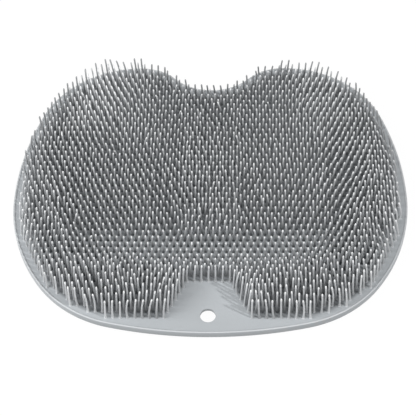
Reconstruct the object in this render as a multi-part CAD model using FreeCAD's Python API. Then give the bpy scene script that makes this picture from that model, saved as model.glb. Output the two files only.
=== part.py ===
import FreeCAD, Part
import math
import os
import random

from FreeCAD import Vector

# A foot scrubbing mat for the shower, moulded in one piece from soft silicone. A thin plate with a
# raised lip and a short skirt carries a field of upright bristles on top and suction cups below.
# X runs across the two lobes, Y from the hanging hole at the front to the notch at the back, and
# Z up from the floor that the cups stand on. Lengths in millimetres, angles in degrees.

# The outline's right half, seen from above: arcs that run on from each other from the middle of the
# front edge to the notch. The notch's own radius follows from where the last of them ends.
front_radius = 328.0
front_angle = 12.6
hip_radius = 89.0
hip_angle = 40.4
side_radius = 132.0
side_angle = 36.4
flank_radius = 238.0
flank_angle = 20.7
lobe_radius = 81.0
lobe_angle = 71.0
shoulder_radius = 40.0
shoulder_angle = 44.7

# The plate, its lip and its skirt
cup_height = 8.0
plate_thickness = 2.5
lip_width = 2.0
lip_height = 0.7
lip_bevel = 0.5
skirt_width = 1.8
skirt_depth = 2.3
cutter_overlap = 1.0

# The hanging hole
hole_diameter = 11.2
hole_setback = 15.0

# The bristle field. Rows run across the mat and every second row is moved by half a pitch. Each
# bristle is a slim three-sided spike. The bay is the bare space round the hanging hole.
bristle_pitch = 6.6
row_spacing = 6.6
first_row_setback = 12.4
bare_border = 0.4
bristle_base_radius = 1.6
bay_front_width = 57.0
bay_back_width = 26.0
bay_depth = 29.0

# Bristle lengths. The foot beds have the plain length; the strip between them stands taller, and so
# do the bristles along the front and sides and, a little, those right by the edge. A low band
# crosses the mat behind the front ones, and the bristles get shorter towards the back. Setbacks are
# measured from the front edge.
bed_length = 14.6
strip_extra = 3.6
strip_width = 42.0
strip_setback = 78.0
strip_blend = 6.0
rim_extra = 11.0
rim_distance = 28.0
rim_outer_spread = 22.0
rim_inner_spread = 19.0
rim_fade_start = 40.0
rim_fade_end = 200.0
edge_extra = 2.4
edge_spread = 17.0
band_drop = 3.2
band_setback = 64.0
band_spread = 15.0
back_drop = 3.2
back_setback = 130.0

# How far the tips lean outwards at the mat's edge and how unevenly they stand
splay = 2.2
unevenness = 0.35

# The suction cups
cup_radius = 9.0
cup_stem_radius = 4.5
cup_lip_width = 0.9
cup_hollow = 3.2
cup_sides = 12
cup_spacing_x = 58.0
cup_spacing_y = 44.0
cup_clearance = 3.0

underside = cup_height
plate_top = underside + plate_thickness
lip_top = plate_top + lip_height
skirt_bottom = underside - skirt_depth


def outline_arcs(front_y):
    """The right half as (centre x, centre y, radius, start angle, turn) in order, angles in radians."""
    x, y, heading = 0.0, front_y, 0.0
    found = []
    for radius, turn in (
        (front_radius, front_angle),
        (hip_radius, hip_angle),
        (side_radius, side_angle),
        (flank_radius, flank_angle),
        (lobe_radius, lobe_angle),
        (shoulder_radius, shoulder_angle),
    ):
        turn = math.radians(turn)
        centre_x = x - radius * math.sin(heading)
        centre_y = y + radius * math.cos(heading)
        found.append((centre_x, centre_y, radius, heading - math.pi / 2, turn))
        heading += turn
        x = centre_x + radius * math.sin(heading)
        y = centre_y - radius * math.cos(heading)
    # The notch bends the other way, back to the mat's middle line
    back_turn = heading - math.pi
    radius = x / math.sin(back_turn)
    centre_x = x + radius * math.sin(heading)
    centre_y = y - radius * math.cos(heading)
    found.append((centre_x, centre_y, -radius, heading + math.pi / 2, -back_turn))
    return found


def arc_point(arc, share, inset):
    """The point at a share of an arc's turn, moved into the plate by inset."""
    centre_x, centre_y, radius, start, turn = arc
    angle = start + turn * share
    reach = abs(radius - inset)
    return centre_x + reach * math.cos(angle), centre_y + reach * math.sin(angle)


def outline_polygon(inset, steps=24):
    """The outline, moved in by inset, as a list of points for testing what lies inside it."""
    half = [arc_point(arc, step / steps, inset) for arc in arcs for step in range(steps)]
    return half + [(-x, y) for x, y in reversed(half)]


# The origin lies under the middle of the mat's length and width
arcs = outline_arcs(0.0)
depth = max(y for x, y in outline_polygon(0.0))
front_edge_y = -depth / 2
arcs = outline_arcs(front_edge_y)
outline = outline_polygon(0.0)
half_width = max(x for x, y in outline)
hole_y = front_edge_y + hole_setback
first_row_y = front_edge_y + first_row_setback


def outline_wire(inset, z):
    """The closed outline, moved in by inset, at height z."""
    edges = []
    for side in (1, -1):
        for arc in arcs:
            points = [arc_point(arc, share, inset) for share in (0.0, 0.5, 1.0)]
            edges.append(Part.Arc(*(Vector(side * x, y, z) for x, y in points)).toShape())
    return Part.Wire(Part.__sortEdges__(edges))


def is_inside(polygon, x, y):
    inside = False
    last_x, last_y = polygon[-1]
    for next_x, next_y in polygon:
        if (next_y > y) != (last_y > y):
            if x < (last_x - next_x) * (y - next_y) / (last_y - next_y) + next_x:
                inside = not inside
        last_x, last_y = next_x, next_y
    return inside


def edge_distance(x, y):
    return min(math.hypot(x - point_x, y - point_y) for point_x, point_y in outline)


def slab(inset, bottom, top):
    return Part.Face(outline_wire(inset, bottom)).extrude(Vector(0, 0, top - bottom))


def make_plate():
    """The plate with its lip, skirt and hanging hole, before the bristles."""
    body = slab(0.0, skirt_bottom, lip_top)
    lip_edges = [edge for edge in body.Edges if edge.BoundBox.ZMin > lip_top - 1e-6]
    body = body.makeChamfer(lip_bevel, lip_edges)
    body = body.cut(slab(lip_width, plate_top, lip_top + cutter_overlap))
    body = body.cut(slab(skirt_width, skirt_bottom - cutter_overlap, underside))
    hole_height = plate_thickness + 2 * cutter_overlap
    hole_foot = Vector(0, hole_y, underside - cutter_overlap)
    return body.cut(Part.makeCylinder(hole_diameter / 2, hole_height, hole_foot))


def ring(radius, z):
    """The corners of a many-sided ring round the Z axis."""
    turns = [2 * math.pi * side / cup_sides for side in range(cup_sides)]
    return [Vector(radius * math.cos(turn), radius * math.sin(turn), z) for turn in turns]


def flat_face(*points):
    return Part.Face(Part.makePolygon([*points, points[0]]))


def make_cup():
    """A suction cup: a solid stem that widens to a thin lip, with a shallow hollow under it."""
    stem_top = underside + plate_thickness / 2
    rings = [
        ring(cup_stem_radius, stem_top),
        ring(cup_stem_radius, underside),
        ring(cup_radius, 0.0),
        ring(cup_radius - cup_lip_width, 0.0),
    ]
    crown = Vector(0, 0, cup_hollow)
    faces = [flat_face(*rings[0])]
    for side in range(cup_sides):
        after = (side + 1) % cup_sides
        for upper, lower in zip(rings, rings[1:]):
            faces.append(flat_face(upper[side], upper[after], lower[after], lower[side]))
        faces.append(flat_face(rings[-1][side], rings[-1][after], crown))
    shell = Part.Shell(faces)
    shell.sewShape()
    return Part.Solid(shell)


def cup_places():
    """A staggered grid of cups, kept inside the skirt and clear of the hanging hole."""
    room = outline_polygon(skirt_width + cup_radius + cup_clearance)
    hole_room = hole_diameter / 2 + cup_radius + cup_clearance
    rows = math.ceil(depth / cup_spacing_y)
    columns = math.ceil(half_width / cup_spacing_x)
    places = []
    for row in range(-rows, rows + 1):
        y = row * cup_spacing_y
        for column in range(-columns, columns + 1):
            x = (column + (row % 2) / 2) * cup_spacing_x
            if is_inside(room, x, y) and math.hypot(x, y - hole_y) > hole_room:
                places.append(Vector(x, y, 0))
    return places


def ramp(value, start, end):
    """Rises from 0 at start to 1 at end, and stays there."""
    return min(max((value - start) / (end - start), 0.0), 1.0)


def bump(distance, spread):
    """1 at no distance, falling away smoothly over the spread."""
    return math.exp(-((distance / spread) ** 2))


def bristle_length(x, y):
    """How long a bristle is at its place on the mat."""
    setback = y - front_edge_y
    back_share = ramp(setback, back_setback, depth)
    length = bed_length - back_drop * back_share
    length -= band_drop * bump(setback - band_setback, band_spread)
    across = 1.0 - ramp(abs(x), strip_width / 2, strip_width / 2 + strip_blend)
    along = ramp(setback, strip_setback - strip_blend, strip_setback) * (1.0 - back_share)
    length += strip_extra * across * along
    gap = edge_distance(x, y)
    length += edge_extra * bump(gap, edge_spread)
    past_crest = gap - rim_distance
    spread = rim_inner_spread if past_crest > 0 else rim_outer_spread
    fade = 1.0 - ramp(setback, rim_fade_start, rim_fade_end)
    return length + rim_extra * bump(past_crest, spread) * fade


def bay_half_width(y):
    """Half the width of the bare bay round the hanging hole, or nothing behind it."""
    share = (y - first_row_y) / bay_depth
    if share > 1.0:
        return 0.0
    return (bay_front_width + (bay_back_width - bay_front_width) * share) / 2


def field_rows():
    """Each row as a list of column numbers in half pitches; even rows have even numbers."""
    room = outline_polygon(lip_width + bare_border)
    corners = {}

    def corner_fits(column, line):
        if (column, line) not in corners:
            x = column * bristle_pitch / 2
            y = first_row_y + (line - 0.5) * row_spacing
            corners[column, line] = is_inside(room, x, y)
        return corners[column, line]

    row_count = math.ceil(depth / row_spacing)
    reach = math.ceil(2 * half_width / bristle_pitch)
    rows = []
    for row in range(row_count):
        y = first_row_y + row * row_spacing
        columns = []
        for column in range(-reach, reach + 1):
            if (column + row) % 2:
                continue
            if abs(column * bristle_pitch / 2) < bay_half_width(y):
                continue
            if all(corner_fits(column + side, line) for side in (-1, 1) for line in (row, row + 1)):
                columns.append(column)
        rows.append(columns)
    return rows


def runs(columns):
    """Splits a row's columns into unbroken runs, each as its two end lines in half pitches."""
    found = []
    for column in columns:
        if found and column - 1 == found[-1][1]:
            found[-1][1] = column + 1
        else:
            found.append([column - 1, column + 1])
    return found


def make_bristle(x, y, faces):
    """Adds a bristle's three sides to faces and returns the wire round its foot."""
    lean = splay * math.hypot(x, y) / half_width ** 2
    tip = Vector(
        x + lean * x + random.uniform(-unevenness, unevenness),
        y + lean * y + random.uniform(-unevenness, unevenness),
        plate_top + bristle_length(x, y),
    )
    foot = []
    for corner in range(3):
        angle = math.radians(90 - 120 * corner)
        foot.append(
            Vector(
                x + bristle_base_radius * math.cos(angle),
                y + bristle_base_radius * math.sin(angle),
                plate_top,
            )
        )
    feet = [Part.Vertex(point) for point in foot]
    top = Part.Vertex(tip)
    base_edges = [Part.Edge(feet[i], feet[(i + 1) % 3]) for i in range(3)]
    side_edges = [Part.Edge(point, top) for point in feet]
    for i in range(3):
        wire = Part.Wire([base_edges[i], side_edges[(i + 1) % 3], side_edges[i]])
        faces.append(Part.Face(wire))
    return Part.Wire(base_edges)


def make_field():
    """The bristles with the plate's top between them, and the stepped line round the whole field."""
    rows = field_rows()
    row_runs = [runs(columns) for columns in rows]
    corners = {}

    def corner(column, line):
        if (column, line) not in corners:
            y = first_row_y + (line - 0.5) * row_spacing
            corners[column, line] = Part.Vertex(Vector(column * bristle_pitch / 2, y, plate_top))
        return corners[column, line]

    edges = {}
    uses = {}

    def edge(start, end):
        key = (start, end)
        if key not in edges:
            edges[key] = Part.Edge(corner(*start), corner(*end))
        uses[key] = uses.get(key, 0) + 1
        return edges[key]

    def line_edges(first, last, line):
        """The edges along a line between two rows, cut wherever either row's run ends."""
        ends = {first, last}
        for row in (line - 1, line):
            if 0 <= row < len(row_runs):
                for run in row_runs[row]:
                    ends.update(end for end in run if first < end < last)
        ends = sorted(ends)
        return [edge((a, line), (b, line)) for a, b in zip(ends, ends[1:])]

    faces = []
    for row, columns in enumerate(rows):
        y = first_row_y + row * row_spacing
        for first, last in row_runs[row]:
            border = line_edges(first, last, row)
            border.append(edge((last, row), (last, row + 1)))
            border += reversed(line_edges(first, last, row + 1))
            border.append(edge((first, row), (first, row + 1)))
            wires = [Part.Wire(border)]
            for column in columns:
                if first < column < last:
                    wires.append(make_bristle(column * bristle_pitch / 2, y, faces))
            faces.append(Part.Face(wires))
    border = [edges[key] for key, count in uses.items() if count == 1]
    return faces, [Part.Wire(group) for group in Part.sortEdges(border)]


def lies_at(face, z):
    return max(abs(face.BoundBox.ZMin - z), abs(face.BoundBox.ZMax - z)) < 1e-6


random.seed(11)
cup = make_cup()
body = make_plate().fuse([cup.translated(place) for place in cup_places()])

# The plate's plain top gives way to a margin round the field and to the field itself
top_face = next(face for face in body.Faces if lies_at(face, plate_top))
field_faces, field_borders = make_field()
margin = Part.makeFace(top_face.Wires + field_borders, "Part::FaceMakerBullseye")
other_faces = [face for face in body.Faces if not face.isSame(top_face)]
shell = Part.Shell(other_faces + [margin] + field_faces)
shell.sewShape()
mat = Part.Solid(shell)

os.makedirs("parts", exist_ok=True)
mat.exportStep("parts/scrubber_mat.step")
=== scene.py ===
import math
import random

import bmesh
import bpy
import numpy as np
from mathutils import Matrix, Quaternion, Vector, noise


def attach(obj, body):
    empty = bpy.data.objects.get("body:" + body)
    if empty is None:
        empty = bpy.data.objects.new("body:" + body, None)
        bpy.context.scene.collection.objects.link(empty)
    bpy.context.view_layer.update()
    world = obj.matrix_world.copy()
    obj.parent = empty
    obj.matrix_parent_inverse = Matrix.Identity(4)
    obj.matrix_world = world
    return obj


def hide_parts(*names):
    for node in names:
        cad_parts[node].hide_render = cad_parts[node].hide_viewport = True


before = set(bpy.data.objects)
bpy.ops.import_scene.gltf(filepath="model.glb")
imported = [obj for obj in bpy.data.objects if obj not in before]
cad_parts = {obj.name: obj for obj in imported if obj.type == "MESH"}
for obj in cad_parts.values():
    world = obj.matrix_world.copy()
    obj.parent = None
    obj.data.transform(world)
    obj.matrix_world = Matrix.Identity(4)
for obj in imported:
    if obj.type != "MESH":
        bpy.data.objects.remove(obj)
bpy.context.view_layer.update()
mm = 0.001

# The plate. One flat sheet of soft grey silicone with a rounded lip round its top edge and a short
# skirt under it, all straight from the mould. The hanging hole is moulded in at the front.
front_radius, front_turn = 328.0, 12.6
hip_radius, hip_turn = 89.0, 40.4
side_radius, side_turn = 132.0, 36.4
flank_radius, flank_turn = 238.0, 20.7
lobe_radius, lobe_turn = 81.0, 71.0
shoulder_radius, shoulder_turn = 40.0, 44.7
arc_steps = 24

underside = 8.0 * mm
plate_top = 10.5 * mm
skirt_bottom = 5.7 * mm
skirt_width = 1.8 * mm
edge_rounding = 0.5 * mm
hole_radius = 5.6 * mm
hole_setback = 15.0 * mm
hole_sides = 64

# The lip's section, as inset and height above the plate: up its outer side, over its round crest
# and down to the plate
lip_section = (
    (0.0, 0.1),
    (0.14, 0.45),
    (0.42, 0.66),
    (0.75, 0.7),
    (1.08, 0.62),
    (1.4, 0.42),
    (1.7, 0.19),
    (2.05, 0.04),
    (2.4, 0.0),
)
# Painted shade between the bristles fades in between these insets from the mat's edge
border_inset = 5.5 * mm
field_inset = 8.2 * mm
border_fade = 9.0 * mm

# The bay, the bare space round the hole, reaches back from the first row of bristles
first_row_setback = 13.1 * mm
bay_half_front = 30.0 * mm
bay_half_back = 14.5 * mm
bay_depth = 31.0 * mm
bay_margin = 1.0 * mm


def outline_arcs(front_y):
    """The right half as (centre x, centre y, radius, start angle, turn) in order."""
    x, y, heading = 0.0, front_y, 0.0
    found = []
    for radius, turn in (
        (front_radius * mm, math.radians(front_turn)),
        (hip_radius * mm, math.radians(hip_turn)),
        (side_radius * mm, math.radians(side_turn)),
        (flank_radius * mm, math.radians(flank_turn)),
        (lobe_radius * mm, math.radians(lobe_turn)),
        (shoulder_radius * mm, math.radians(shoulder_turn)),
    ):
        centre_x = x - radius * math.sin(heading)
        centre_y = y + radius * math.cos(heading)
        found.append((centre_x, centre_y, radius, heading - math.pi / 2, turn))
        heading += turn
        x = centre_x + radius * math.sin(heading)
        y = centre_y - radius * math.cos(heading)
    back_turn = heading - math.pi
    radius = x / math.sin(back_turn)
    centre_x = x + radius * math.sin(heading)
    centre_y = y - radius * math.cos(heading)
    found.append((centre_x, centre_y, -radius, heading + math.pi / 2, -back_turn))
    return found


def arc_point(arc, share, inset):
    centre_x, centre_y, radius, start, turn = arc
    angle = start + turn * share
    reach = abs(radius - inset)
    return centre_x + reach * math.cos(angle), centre_y + reach * math.sin(angle)


def outline_ring(inset):
    """Points all the way round the outline, moved in by inset."""
    half = [arc_point(arc, step / arc_steps, inset) for arc in arcs for step in range(arc_steps)]
    half.append(arc_point(arcs[-1], 1.0, inset))
    return half + [(-x, y) for x, y in reversed(half[1:-1])]


arcs = outline_arcs(0.0)
depth = max(y for x, y in outline_ring(0.0))
front_y = -depth / 2
arcs = outline_arcs(front_y)
outline = outline_ring(0.0)
half_width = max(x for x, y in outline)
hole_y = front_y + hole_setback


def ramp(value, start, end):
    """Rises from 0 at start to 1 at end, and stays there."""
    return min(max((value - start) / (end - start), 0.0), 1.0)


def edge_distance(x, y):
    return min(math.hypot(x - ring_x, y - ring_y) for ring_x, ring_y in outline)


def bay_half_width(setback):
    share = setback / bay_depth
    if share > 1.0:
        return 0.0
    return bay_half_front + (bay_half_back - bay_half_front) * share


def depth_in_field(x, y, gap):
    """0 at the field's border, by the mat's edge or the bay, and 1 well inside."""
    setback = y - front_y - first_row_setback
    beside_bay = abs(x) - bay_half_width(min(max(setback, 0.0), bay_depth))
    past_bay = max(beside_bay, setback - bay_depth)
    return ramp(min(gap - border_inset, past_bay + bay_margin), 0.0, border_fade)


def deselect():
    bpy.ops.object.select_all(action="DESELECT")


def draw_wall(obj, old_inset, inset, height):
    """Extrudes the selected loop and brings the new one to its inset and height."""
    bpy.ops.mesh.extrude_edges_move()
    old_ring, ring = np.array(outline_ring(old_inset)), outline_ring(inset)
    shape = bmesh.from_edit_mesh(obj.data)
    for vertex in shape.verts:
        if vertex.select:
            nearest = np.hypot(*(old_ring - vertex.co.xy).T).argmin()
            vertex.co = (*ring[nearest], height)
    bmesh.update_edit_mesh(obj.data)


level_tolerance = 0.01 * mm


def select_open_edges(obj, height):
    """Selects the open edges that lie at a height."""
    bpy.ops.mesh.select_mode(type="EDGE")
    bpy.ops.mesh.select_all(action="DESELECT")
    shape = bmesh.from_edit_mesh(obj.data)
    for edge in shape.edges:
        level = all(abs(vertex.co.z - height) < level_tolerance for vertex in edge.verts)
        if level and len(edge.link_faces) < 2:
            edge.select = True
    bmesh.update_edit_mesh(obj.data)


deselect()
bpy.ops.mesh.primitive_circle_add(vertices=len(outline), radius=half_width)
plate = bpy.context.object
plate.name = "plate"
for vertex, (x, y) in zip(plate.data.vertices, outline):
    vertex.co = (x, y, skirt_bottom)
bpy.ops.object.mode_set(mode="EDIT")
bpy.ops.mesh.select_mode(type="EDGE")
bpy.ops.mesh.select_all(action="SELECT")
last_inset = 0.0
for inset, height in lip_section:
    draw_wall(plate, last_inset, inset * mm, plate_top + height * mm)
    last_inset = inset * mm
draw_wall(plate, last_inset, border_inset, plate_top)
draw_wall(plate, border_inset, field_inset, plate_top)
select_open_edges(plate, skirt_bottom)
draw_wall(plate, 0.0, skirt_width, skirt_bottom)
draw_wall(plate, skirt_width, skirt_width, underside)

bpy.ops.mesh.select_all(action="DESELECT")
bpy.ops.mesh.primitive_circle_add(vertices=hole_sides, radius=hole_radius, location=(0, hole_y, plate_top))
bpy.ops.mesh.extrude_edges_move(TRANSFORM_OT_translate={"value": (0, 0, underside - plate_top)})
for height in (plate_top, underside):
    select_open_edges(plate, height)
    bpy.ops.mesh.fill()
bpy.ops.mesh.select_all(action="SELECT")
bpy.ops.mesh.normals_make_consistent(inside=False)
bpy.ops.object.mode_set(mode="OBJECT")
rounding = plate.modifiers.new("rounding", "BEVEL")
rounding.width = edge_rounding
rounding.segments = 3
rounding.limit_method = "ANGLE"
rounding.angle_limit = math.radians(50)
bpy.ops.object.modifier_apply(modifier="rounding")
bpy.ops.object.shade_smooth_by_angle(angle=math.radians(40))
# Painted shade on the plate between the bristles, rising from its border inset to its field inset
shade = plate.data.attributes.new("shade", "FLOAT", "POINT")
for vertex, value in zip(plate.data.vertices, shade.data):
    x, y, z = vertex.co
    if z > plate_top - edge_rounding:
        value.value = ramp(edge_distance(x, y), border_inset, field_inset)


class Link:
    """A shader socket that can be used in a sum."""

    def __init__(self, tree, socket):
        self.tree = tree
        self.socket = socket

    def maths(self, operation, first, second):
        return add_node(self.tree, "ShaderNodeMath", {"operation": operation}, {0: first, 1: second})

    def __add__(self, other):
        return self.maths("ADD", self, other)

    def __radd__(self, other):
        return self.maths("ADD", other, self)

    def __sub__(self, other):
        return self.maths("SUBTRACT", self, other)

    def __rsub__(self, other):
        return self.maths("SUBTRACT", other, self)

    def __mul__(self, other):
        return self.maths("MULTIPLY", self, other)

    def __rmul__(self, other):
        return self.maths("MULTIPLY", other, self)

    def __abs__(self):
        return self.maths("ABSOLUTE", self, 0.0)

    def ramp(self, start, end):
        """Rises from 0 at start to 1 at end, and stays there."""
        return add_node(self.tree, "ShaderNodeMapRange", {}, {"Value": self, 1: start, 2: end})


def add_node(tree, kind, settings=None, values=None, output=0):
    """Adds a node with its settings and the values or links of its sockets."""
    node = tree.nodes.new(kind)
    for name, value in (settings or {}).items():
        setattr(node, name, value)
    for name, value in (values or {}).items():
        if isinstance(value, Link):
            tree.links.new(value.socket, node.inputs[name])
        else:
            node.inputs[name].default_value = value
    return Link(tree, node.outputs[output])


def mix_colours(tree, share, first, second):
    """Two colours mixed by a share."""
    return add_node(
        tree, "ShaderNodeMix", {"data_type": "RGBA"}, {"Factor": share, 6: first, 7: second}, output=2
    )


silicone_grey = (0.405, 0.428, 0.446, 1.0)
silicone_pale = (0.455, 0.478, 0.496, 1.0)
# Painted shade: the grey that the plate and the bristles darken towards deep between the bristles
painted_shade_grey = (0.06, 0.065, 0.07, 1.0)
# Painted highlight: the near-white that the bristles' shafts and tips and the lip's crest are lifted
# towards
painted_highlight_white = (0.95, 0.96, 0.97, 1.0)
silicone_ior = 1.41
cloud_scale = 22.0
cloud_share = 0.7
grain_scale = 1600.0
grain_share = 0.3
grain_strength = 0.25
grain_height = 0.1 * mm
satin_roughness = 0.34
roughness_spread = 0.16
# Painted highlight along the lip's crest, above these heights
crest_start = plate_top + 0.3 * mm
crest_end = plate_top + 0.6 * mm

# The plate has painted shade between the bristles, and less of it in the low band behind the front
# ones, where light reaches it
plate_shade = 0.76
band_shade_drop = 0.52
band_middle = 58.0 * mm
band_core = 9.0 * mm
band_edge = 24.0 * mm
shade_start = -0.5 * mm
shade_fade = 4.0 * mm


def vertex_value(tree, name):
    return add_node(tree, "ShaderNodeAttribute", {"attribute_name": name}, output="Fac")


def field_shade(tree):
    """The plate's painted shade from its vertices, taken away again in the bay."""
    place = add_node(tree, "ShaderNodeTexCoord", output="Object")
    x = add_node(tree, "ShaderNodeSeparateXYZ", {}, {"Vector": place}, output="X")
    y = add_node(tree, "ShaderNodeSeparateXYZ", {}, {"Vector": place}, output="Y")
    setback = y - (front_y + first_row_setback)
    bay_half = bay_half_front - setback * ((bay_half_front - bay_half_back) / bay_depth)
    beside = (abs(x) - bay_half).ramp(0.0, shade_fade)
    behind = setback.ramp(bay_depth, bay_depth + shade_fade)
    inside = beside.maths("MAXIMUM", beside, behind) * setback.ramp(shade_start, shade_fade)
    in_band = 1.0 - abs(setback - band_middle).ramp(band_core, band_edge)
    return vertex_value(tree, "shade") * inside * (plate_shade - band_shade_drop * in_band)


def silicone(name, shade=None, shaft_light_share=0.0, tip_highlight_share=0.0, crest_highlight_share=0.0):
    """Satin silicone: cloudy grey, finely grained and a little uneven in its shine.

    It can carry painted light: bristles lifted towards white for lit shafts, a painted highlight on
    their tips and on the lip's crest, and painted shade deep between the bristles."""
    material = bpy.data.materials.new(name)
    material.use_nodes = True
    tree = material.node_tree
    shader = tree.nodes["Principled BSDF"]
    place = add_node(tree, "ShaderNodeTexCoord", output="Object")
    cloud = add_node(
        tree,
        "ShaderNodeTexNoise",
        {},
        {"Vector": place, "Scale": cloud_scale, "Detail": 3.0, "Roughness": 0.5},
    )
    grain = add_node(
        tree,
        "ShaderNodeTexNoise",
        {},
        {"Vector": place, "Scale": grain_scale, "Detail": 2.0, "Roughness": 0.6},
    )
    paleness = cloud * cloud_share + grain * grain_share
    colour = mix_colours(tree, paleness, silicone_grey, silicone_pale)
    if shaft_light_share:
        # Painted light: the bristles lifted evenly towards white for their lit shafts
        colour = mix_colours(tree, shaft_light_share, colour, painted_highlight_white)
    if shade:
        # Painted shade deep between the bristles and down towards their roots
        colour = mix_colours(tree, shade(tree), colour, painted_shade_grey)
    if crest_highlight_share:
        # Painted highlight along the lip's crest
        height = add_node(tree, "ShaderNodeSeparateXYZ", {}, {"Vector": place}, output="Z")
        crest = height.ramp(crest_start, crest_end)
        colour = mix_colours(tree, crest * crest_highlight_share, colour, painted_highlight_white)
    if tip_highlight_share:
        # Painted highlight on the bristles' tips
        colour = mix_colours(tree, vertex_value(tree, "tip") * tip_highlight_share, colour, painted_highlight_white)
    relief = add_node(
        tree,
        "ShaderNodeBump",
        {},
        {"Strength": grain_strength, "Distance": grain_height, "Height": grain},
    )
    roughness = satin_roughness + cloud * roughness_spread
    tree.links.new(colour.socket, shader.inputs["Base Color"])
    tree.links.new(roughness.socket, shader.inputs["Roughness"])
    tree.links.new(relief.socket, shader.inputs["Normal"])
    shader.inputs["IOR"].default_value = silicone_ior
    return material


plate_silicone = silicone("plate silicone", field_shade, crest_highlight_share=0.3)
plate.data.materials.append(plate_silicone)
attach(plate, "root")
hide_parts("scrubber_mat")

# The suction cups. Soft cups on short stems, moulded with the plate in a staggered pattern under it.
# Their thin lips stand on the shower floor and hold the mat down when it is pressed.
cup_radius = 9.0 * mm
cup_spacing_x = 58.0 * mm
cup_spacing_y = 44.0 * mm
cup_clearance = 3.0 * mm
cup_reach = 3
cup_sides = 36

# Radius and height of each ring, in millimetres, from the stem inside the plate down the outside
# to the lip and up again inside the cup
cup_rows = (
    (4.5, 9.2),
    (4.5, 7.7),
    (4.9, 6.6),
    (7.2, 3.0),
    (8.6, 0.9),
    (9.0, 0.3),
    (8.9, 0.0),
    (8.1, 0.0),
    (7.3, 0.9),
    (5.4, 2.0),
    (2.7, 2.9),
    (0.0, 3.2),
)


def raise_rings(name, rows, sides):
    """Draws a round shape through rows of radius and height, closed at both ends."""
    deselect()
    radius, height = rows[0]
    bpy.ops.mesh.primitive_circle_add(
        vertices=sides, radius=radius * mm, fill_type="NGON", location=(0, 0, height * mm)
    )
    obj = bpy.context.object
    obj.name = name
    bpy.ops.object.transform_apply(location=True, rotation=True, scale=True)
    bpy.ops.object.mode_set(mode="EDIT")
    bpy.ops.mesh.select_mode(type="FACE")
    bpy.ops.mesh.select_all(action="SELECT")
    for next_radius, next_height in rows[1:]:
        bpy.ops.mesh.extrude_region_move(
            TRANSFORM_OT_translate={"value": (0, 0, (next_height - height) * mm)}
        )
        if next_radius:
            share = next_radius / radius
            bpy.ops.transform.resize(value=(share, share, 1))
        else:
            bpy.ops.mesh.merge(type="CENTER")
        radius, height = next_radius, next_height
    bpy.ops.mesh.select_all(action="SELECT")
    bpy.ops.mesh.normals_make_consistent(inside=False)
    bpy.ops.object.mode_set(mode="OBJECT")
    bpy.ops.object.shade_smooth_by_angle(angle=math.radians(50))
    return obj


def is_inside(ring, x, y):
    inside = False
    last_x, last_y = ring[-1]
    for next_x, next_y in ring:
        if (next_y > y) != (last_y > y):
            if x < (last_x - next_x) * (y - next_y) / (last_y - next_y) + next_x:
                inside = not inside
        last_x, last_y = next_x, next_y
    return inside


def join_copies(pattern, name, shapes):
    """Copies of a pattern, each with its own mesh and vertex places, joined in one piece.

    A shape is the places and a dictionary with the values of the copy's own vertex attributes."""
    deselect()
    for places, attributes in shapes:
        copy = pattern.copy()
        copy.data = pattern.data.copy()
        copy.data.vertices.foreach_set("co", places.ravel())
        for attribute_name, values in attributes.items():
            copy.data.attributes[attribute_name].data.foreach_set("value", values)
        bpy.context.collection.objects.link(copy)
        copy.select_set(True)
    bpy.context.view_layer.objects.active = copy
    bpy.ops.object.join()
    copy.name = name
    return copy


def vertex_places(obj):
    places = np.empty(len(obj.data.vertices) * 3)
    obj.data.vertices.foreach_get("co", places)
    return places.reshape(-1, 3)


cup = raise_rings("cup", cup_rows, cup_sides)
cup_places = vertex_places(cup)
room = outline_ring(skirt_width + cup_radius + cup_clearance)
hole_room = hole_radius + cup_radius + cup_clearance
cups = []
for row in range(-cup_reach, cup_reach + 1):
    for column in range(-cup_reach, cup_reach + 1):
        x = (column + (row % 2) / 2) * cup_spacing_x
        y = row * cup_spacing_y
        if is_inside(room, x, y) and math.hypot(x, y - hole_y) > hole_room:
            cups.append((cup_places + (x, y, 0), {}))
suction_cups = join_copies(cup, "suction_cups", cups)
bpy.data.objects.remove(cup)
suction_cups.data.materials.append(silicone("cup silicone"))
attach(suction_cups, "root")
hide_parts("scrubber_mat")

# The bristles. Round silicone bristles moulded with the plate, with a flared foot and a blunt tip,
# in staggered rows. They are longest near the front edge, shortest in a band behind that, and
# short again towards the back.
bristle_pitch = 5.2 * mm
row_spacing = 5.21 * mm
bristle_edge_gap = 3.5 * mm
field_half_width = 144.0 * mm
column_reach = 60
bristle_sides = 7

# Radius and height of each ring of the pattern, in millimetres, from its foot in the plate up
bristle_rows = (
    (1.40, -0.3),
    (0.96, 0.4),
    (0.74, 2.4),
    (0.70, 7.0),
    (0.66, 12.5),
    (0.63, 17.6),
    (0.65, 18.1),
    (0.66, 19.2),
    (0.47, 19.8),
    (0.0, 20.0),
)
pattern_length = 20.0 * mm
foot_length = 2.4 * mm
tip_length = 1.9 * mm
# Painted highlight on each bristle's tip, from this height up
tip_highlight_start = 17.7 * mm
tip_highlight_fade = 0.3 * mm
length_spread = 0.016
bow_spread = 0.3 * mm
bend_power = 1.6

# Painted shade darkens a bristle towards its root, more so well inside the field than at its border.
# Its tip has a painted highlight, except in the outer rows at the back, which have painted shade all
# over, and the low band a little.
border_dark = 0.1
inner_dark = 0.9
shade_power = 1.2
shaded_length = 14.0 * mm
highlight_gap_full = 12.0 * mm
highlight_gap_start = 8.0 * mm
highlight_y_end = 40.0 * mm
highlight_y_full = -20.0 * mm
back_rim_shade_share = 0.55
band_even_shade = 0.15

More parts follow.
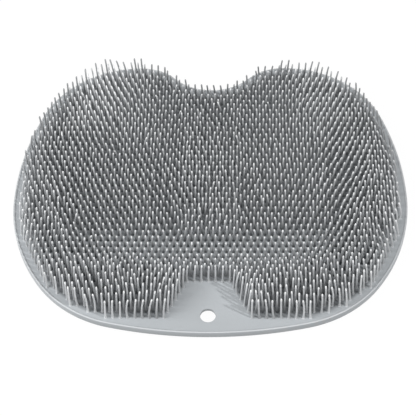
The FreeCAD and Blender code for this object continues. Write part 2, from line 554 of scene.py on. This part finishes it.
bed_length = 14.6 * mm
strip_extra = 3.6 * mm
strip_width = 42.0 * mm
strip_setback = 78.0 * mm
strip_blend = 6.0 * mm
rim_extra = 11.0 * mm
rim_distance = 28.0 * mm
rim_outer_spread = 22.0 * mm
rim_inner_spread = 19.0 * mm
rim_fade_start = 40.0 * mm
rim_fade_end = 200.0 * mm
edge_extra = 2.4 * mm
edge_spread = 17.0 * mm
band_drop = 3.2 * mm
band_setback = 64.0 * mm
band_spread = 15.0 * mm
back_drop = 3.2 * mm
back_setback = 130.0 * mm


def bump(distance, spread):
    """1 at no distance, falling away smoothly over the spread."""
    return math.exp(-((distance / spread) ** 2))


def bristle_length(x, y, gap):
    """How long a bristle is at its place on the mat."""
    setback = y - front_y
    back_share = ramp(setback, back_setback, depth)
    length = bed_length - back_drop * back_share
    length -= band_drop * bump(setback - band_setback, band_spread)
    across = 1.0 - ramp(abs(x), strip_width / 2, strip_width / 2 + strip_blend)
    along = ramp(setback, strip_setback - strip_blend, strip_setback) * (1.0 - back_share)
    length += strip_extra * across * along
    length += edge_extra * bump(gap, edge_spread)
    past_crest = gap - rim_distance
    spread = rim_inner_spread if past_crest > 0 else rim_outer_spread
    fade = 1.0 - ramp(setback, rim_fade_start, rim_fade_end)
    return length + rim_extra * bump(past_crest, spread) * fade


# The lean to the right, in degrees, at places across the mat, for setbacks from the front to the
# back, all in millimetres. The tilts are the lean to the back, as a share, near the back edge
# and near the front one.
lean_columns = (-140, -117, -98, -78, -58, -39, -19, 0, 20, 40, 60, 80, 99, 119, 139)
lean_rows = (
    (30, (2, 1, 0, 2, 2, 2, -2, -2, -3, -4, -1, -3, -4, -3, -6)),
    (75, (8, 5, 1, -1, 1, 2, 3, 2, 1, -2, -2, -1, 3, -5, -13)),
    (115, (6, 0, 1, 0, -2, 0, 0, -1, 0, 0, -1, 0, 6, 1, -8)),
    (155, (4, 1, 1, 1, 0, -1, 0, 0, -1, -2, -4, -1, 8, 2, -11)),
    (190, (-1, 2, -5, -6, 1, 4, 2, -1, -1, -2, -1, 3, 7, -1, -13)),
    (220, (0, 0, -8, -12, -4, 3, 1, -2, 1, 0, 4, 7, 8, -3, -11)),
)
back_tilt = (0, 0, 0.6, 0.45, 0.15, -0.1, -0.12, -0.15, -0.15, -0.1, 0, 0.25, 0.22, -0.05, 0.1)
back_tilt_start = 30 * mm
back_tilt_full = 110 * mm
front_tilt = 0.07
front_tilt_full = 20 * mm
front_tilt_end = 60 * mm

# Beside and behind the bay the bristles lean a few degrees more to the right
bay_lean = 6.5
bay_lean_full_setback = 30 * mm
bay_lean_full_side = 28 * mm
bay_lean_end = 55 * mm

# Neighbours sway together, each bristle leans a little its own way, and a few are stray
sway_size = 16 * mm
sway_sideways = 0.07
sway_back = 0.08
lean_spread = 0.022
stray_share = 0.01
stray_lean = 0.2


def lean_of(x, y):
    """How far the tip leans, sideways and back, as a share of the bristle's length."""
    setback = y - front_y
    here = [np.interp(x / mm, lean_columns, leans) for _, leans in lean_rows]
    lean = np.interp(setback / mm, [place for place, _ in lean_rows], here)
    near_bay = 1.0 - ramp(setback, bay_lean_full_setback, bay_lean_end)
    near_bay *= 1.0 - ramp(abs(x), bay_lean_full_side, bay_lean_end)
    lean += bay_lean * near_bay
    sway = noise.noise_vector(Vector((x, y, 0)) / sway_size)
    own_lean = random.gauss(0.0, lean_spread), random.gauss(0.0, lean_spread)
    lean_x = math.tan(math.radians(lean)) + sway_sideways * sway.x + own_lean[0]
    lean_y = np.interp(x / mm, lean_columns, back_tilt) * ramp(y, back_tilt_start, back_tilt_full)
    in_front = 1.0 - ramp(setback, front_tilt_full, front_tilt_end)
    lean_y += front_tilt * in_front + sway_back * sway.y + own_lean[1]
    if random.random() < stray_share:
        lean_x += random.uniform(-stray_lean, stray_lean)
        lean_y += random.uniform(-stray_lean, stray_lean)
    return lean_x, lean_y


random.seed(7)
noise.seed_set(7)
bristle = raise_rings("bristle", bristle_rows, bristle_sides)
pattern_places = vertex_places(bristle)
pattern_tip_highlight = np.clip((pattern_places[:, 2] - tip_highlight_start) / tip_highlight_fade, 0, 1)
bristle.data.attributes.new("tip", "FLOAT", "POINT")
bristle.data.attributes.new("shade", "FLOAT", "POINT")


def shaped_bristle(x, y, length, lean, bow, deep, even_shade, tip_highlight):
    """The pattern's vertex places for one bristle, stretched, bent and moved to its place.

    Its painted shade and the painted highlight on its tip go with it as the values of its vertices."""
    height = np.interp(
        pattern_places[:, 2],
        (-foot_length, foot_length, pattern_length - tip_length, pattern_length),
        (-foot_length, foot_length, length - tip_length, length),
    )
    share = np.clip(height / length, 0, 1)
    bend = share ** bend_power * length
    places = np.empty_like(pattern_places)
    places[:, 0] = x + pattern_places[:, 0] + lean[0] * bend + bow[0] * np.sin(math.pi * share)
    places[:, 1] = y + pattern_places[:, 1] + lean[1] * bend + bow[1] * np.sin(math.pi * share)
    places[:, 2] = plate_top + height
    # Painted shade towards the root, and all along where it is even
    shade = np.clip((1 - share) ** shade_power * deep + even_shade, 0, 1)
    return places, {"shade": shade, "tip": pattern_tip_highlight * tip_highlight}


room = outline_ring(bristle_edge_gap)
fields = {"bristles_left": [], "bristles_middle": [], "bristles_right": []}
for row in range(math.ceil(depth / row_spacing)):
    setback = row * row_spacing
    y = front_y + first_row_setback + setback
    for column in range(-column_reach, column_reach + 1):
        x = column * bristle_pitch / 2
        if (column + row) % 2 or abs(x) < bay_half_width(setback):
            continue
        if abs(x) > field_half_width or not is_inside(room, x, y):
            continue
        gap = edge_distance(x, y)
        length = bristle_length(x, y, gap) * (1.0 - abs(random.gauss(0.0, length_spread)))
        bow = [random.gauss(0.0, bow_spread) for _ in range(2)]
        # Painted shade towards the root, stronger deep in the field and on long bristles
        deep = border_dark + inner_dark * depth_in_field(x, y, gap)
        deep *= ramp(length, 0.0, shaded_length)
        # Painted highlight on the tips, taken away in the outer rows at the back
        highlight_in_front = 1.0 - ramp(y, highlight_y_full, highlight_y_end)
        tip_highlight = max(ramp(gap, highlight_gap_start, highlight_gap_full), highlight_in_front)
        in_band = bump(y - front_y - band_setback, band_spread)
        # Painted shade all along the outer rows at the back, and a little in the low band
        even_shade = back_rim_shade_share * (1.0 - tip_highlight) + band_even_shade * in_band
        shape = shaped_bristle(x, y, length, lean_of(x, y), bow, deep, even_shade, tip_highlight)
        if abs(x) < strip_width / 2:
            fields["bristles_middle"].append(shape)
        elif x < 0:
            fields["bristles_left"].append(shape)
        else:
            fields["bristles_right"].append(shape)

# The bristles carry painted light: shafts lifted towards white, a painted highlight on the tips and
# painted shade towards the roots
bristle_silicone = silicone(
    "bristle silicone", lambda tree: vertex_value(tree, "shade"), shaft_light_share=0.57, tip_highlight_share=1.0
)
for name, shapes in fields.items():
    field = join_copies(bristle, name, shapes)
    field.data.materials.append(bristle_silicone)
    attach(field, "root")
    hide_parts("scrubber_mat")
bpy.data.objects.remove(bristle)

# The studio. A plain white floor, a small lamp from the right, a large soft one from the left and
# an even white sky. The camera looks down at the mat from the front, at the photograph's angle.
floor_drop = 0.1 * mm
paper_grey = (0.5, 0.5, 0.5, 1.0)
paper_roughness = 0.9
paper_shine = 0.1
paper_brightness = 1.05
paper_glow_share = 0.93
white = (1.0, 1.0, 1.0, 1.0)
sky_strength = 0.2


def is_seen(tree):
    """1 for rays from the camera and from a glossy surface, which see the white studio."""
    camera_ray = add_node(tree, "ShaderNodeLightPath", output="Is Camera Ray")
    glossy_ray = add_node(tree, "ShaderNodeLightPath", output="Is Glossy Ray")
    return camera_ray.maths("MAXIMUM", camera_ray, glossy_ray)


deselect()
bpy.ops.mesh.primitive_plane_add(size=6.0, location=(0, 0, -floor_drop))
floor = bpy.context.object
floor.name = "floor"
floor_paper = bpy.data.materials.new("floor paper")
floor_paper.use_nodes = True
paper_tree = floor_paper.node_tree
paper = paper_tree.nodes["Principled BSDF"]
paper.inputs["Base Color"].default_value = paper_grey
paper.inputs["Roughness"].default_value = paper_roughness
paper.inputs["Specular IOR Level"].default_value = paper_shine
paper_glow = add_node(
    paper_tree,
    "ShaderNodeEmission",
    {},
    {"Color": white, "Strength": paper_brightness},
    output="Emission",
)
paper_seen = is_seen(paper_tree)
paper_mix = add_node(
    paper_tree,
    "ShaderNodeMixShader",
    {},
    {0: paper_seen * paper_glow_share, 1: Link(paper_tree, paper.outputs["BSDF"]), 2: paper_glow},
)
paper_tree.links.new(paper_mix.socket, paper_tree.nodes["Material Output"].inputs["Surface"])
floor.data.materials.append(floor_paper)

world = bpy.data.worlds.new("white sky")
bpy.context.scene.world = world
world.use_nodes = True
sky_tree = world.node_tree
sky = sky_tree.nodes["Background"]
sky.inputs["Color"].default_value = white
sky_light = is_seen(sky_tree) * (1.0 - sky_strength) + sky_strength
sky_tree.links.new(sky_light.socket, sky.inputs["Strength"])

# The spot on the mat that the lamps and the camera look at
target = Vector((-1.3, -17.2, 10.5)) * mm


def add_lamp(name, azimuth, elevation, distance, size, power):
    """A square lamp that looks at the target from an azimuth, counted from the front to the right."""
    turn, rise = math.radians(azimuth), math.radians(elevation)
    away = Vector((math.sin(turn) * math.cos(rise), -math.cos(turn) * math.cos(rise), math.sin(rise)))
    deselect()
    bpy.ops.object.light_add(type="AREA", location=target + away * distance)
    lamp = bpy.context.object
    lamp.name = name
    lamp.rotation_euler = away.to_track_quat("Z", "Y").to_euler()
    lamp.data.size = size
    lamp.data.energy = power


add_lamp("right lamp", azimuth=59, elevation=43, distance=1.2, size=0.05, power=6.5)
add_lamp("left lamp", azimuth=-68, elevation=42, distance=1.2, size=0.8, power=13.0)

# The lens as it was worked out from the photograph, in its pixels
photo_pixels = 416
focal_pixels = 1230
camera_distance = 932.6 * mm
camera_elevation = math.radians(52.6)
camera_azimuth = math.radians(2.2)
camera_roll = math.radians(-1.75)
away = Vector(
    (
        math.sin(camera_azimuth) * math.cos(camera_elevation),
        -math.cos(camera_azimuth) * math.cos(camera_elevation),
        math.sin(camera_elevation),
    )
)
bpy.ops.object.camera_add(location=target + away * camera_distance)
camera = bpy.context.object
camera.rotation_euler = (away.to_track_quat("Z", "Y") @ Quaternion((0, 0, 1), camera_roll)).to_euler()
camera.data.sensor_width = 36.0
camera.data.lens = camera.data.sensor_width * focal_pixels / photo_pixels
bpy.context.scene.camera = camera
bpy.context.scene.view_settings.view_transform = "Standard"
